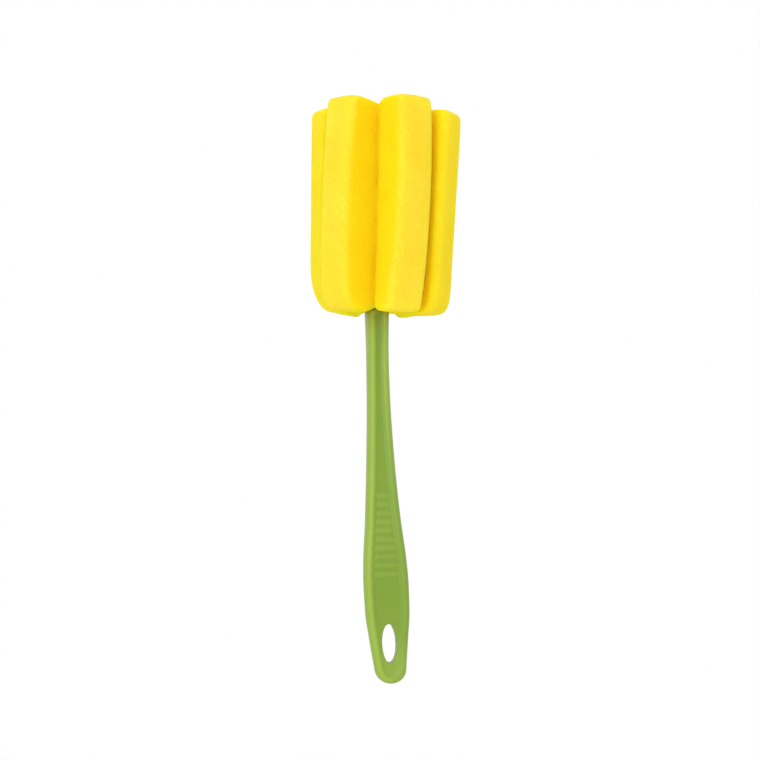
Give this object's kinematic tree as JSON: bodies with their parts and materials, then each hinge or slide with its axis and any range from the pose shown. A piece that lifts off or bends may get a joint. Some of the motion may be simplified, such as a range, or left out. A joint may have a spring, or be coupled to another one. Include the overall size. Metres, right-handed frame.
{
  "type": "sponge bottle brush",
  "caption": "Bottle and glass cleaning brush: a slim moulded handle with a ribbed grip and hanging eye, whose forked end holds a head of foam leaves fanned out as lobes.",
  "frame": {"origin": "on the flat back face of the handle's tail, 3 mm above the hanging eye and on the handle's centre line there", "axes": "+Z from the tail up to the foam head, -Y to the front, +X to the right as seen from the front"},
  "size_m": [0.0638, 0.066, 0.2502],
  "materials": {
    "plastic": "glossy moulded polypropylene",
    "foam": null
  },
  "bodies": {
    "root": {"handle": "plastic", "fork_cap": "plastic", "front_leaf": "foam", "middle_front_leaf": "foam", "middle_rear_leaf": "foam", "rear_leaf": "foam"}
  },
  "joints": []
}
